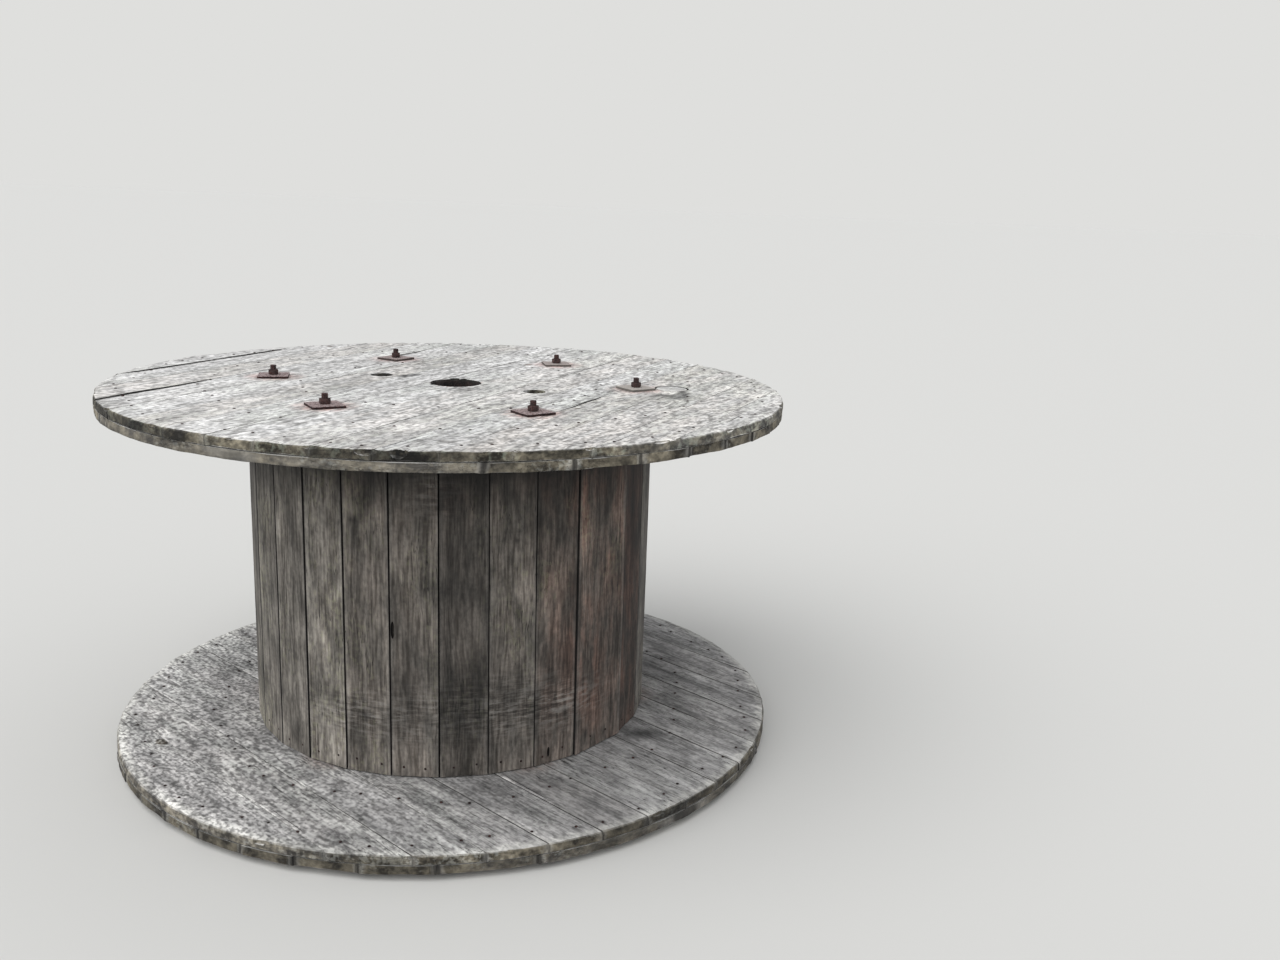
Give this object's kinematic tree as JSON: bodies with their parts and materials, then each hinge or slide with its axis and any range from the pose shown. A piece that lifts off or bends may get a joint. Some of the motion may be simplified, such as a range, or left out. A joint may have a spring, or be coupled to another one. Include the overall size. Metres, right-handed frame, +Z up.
{
  "type": "wooden cable drum",
  "caption": "Weathered wooden cable drum standing on one flange: crossed-board flanges, stave barrel, rusty tie bolts with square plate washers, spindle bore.",
  "frame": {"origin": "on the floor, at the middle of the drum, below the spindle axis", "axes": "+Z up along the spindle axis, -Y towards the side seen in the picture, +X to the right of it"},
  "size_m": [1.8, 1.8, 1],
  "materials": {
    "flange_board": "matte",
    "barrel_board": "matte",
    "core_board": "matte",
    "plug_wood": "matte",
    "rusty_plate": "rough",
    "rusty_bolt": "rough"
  },
  "bodies": {
    "root": {"cable_hole_plug": "plug_wood", "lower_core_ring": "core_board", "lower_flange_inner_boards": "flange_board", "lower_flange_outer_boards": "flange_board", "lower_plate_washer_1": "rusty_plate", "lower_plate_washer_2": "rusty_plate", "lower_plate_washer_3": "rusty_plate", "lower_plate_washer_4": "rusty_plate", "lower_plate_washer_5": "rusty_plate", "lower_plate_washer_6": "rusty_plate", "stave_01": "barrel_board", "stave_02": "barrel_board", "stave_03": "barrel_board", "stave_04": "barrel_board", "stave_05": "barrel_board", "stave_06": "barrel_board", "stave_07": "barrel_board", "stave_08": "barrel_board", "stave_09": "barrel_board", "stave_10": "barrel_board", "stave_11": "barrel_board", "stave_12": "barrel_board", "stave_13": "barrel_board", "stave_14": "barrel_board", "stave_15": "barrel_board", "stave_16": "barrel_board", "stave_17": "barrel_board", "stave_18": "barrel_board", "stave_19": "barrel_board", "stave_20": "barrel_board", "stave_21": "barrel_board", "stave_22": "barrel_board", "stave_23": "barrel_board", "stave_24": "barrel_board", "stave_25": "barrel_board", "stave_26": "barrel_board", "stave_27": "barrel_board", "stave_28": "barrel_board", "tie_bolt_1": "rusty_bolt", "tie_bolt_2": "rusty_bolt", "tie_bolt_3": "rusty_bolt", "tie_bolt_4": "rusty_bolt", "tie_bolt_5": "rusty_bolt", "tie_bolt_6": "rusty_bolt", "tie_bolt_nuts": "rusty_bolt", "upper_core_ring": "core_board", "upper_flange_inner_boards": "flange_board", "upper_flange_outer_boards": "flange_board", "upper_plate_washer_1": "rusty_plate", "upper_plate_washer_2": "rusty_plate", "upper_plate_washer_3": "rusty_plate", "upper_plate_washer_4": "rusty_plate", "upper_plate_washer_5": "rusty_plate", "upper_plate_washer_6": "rusty_plate"}
  },
  "joints": []
}
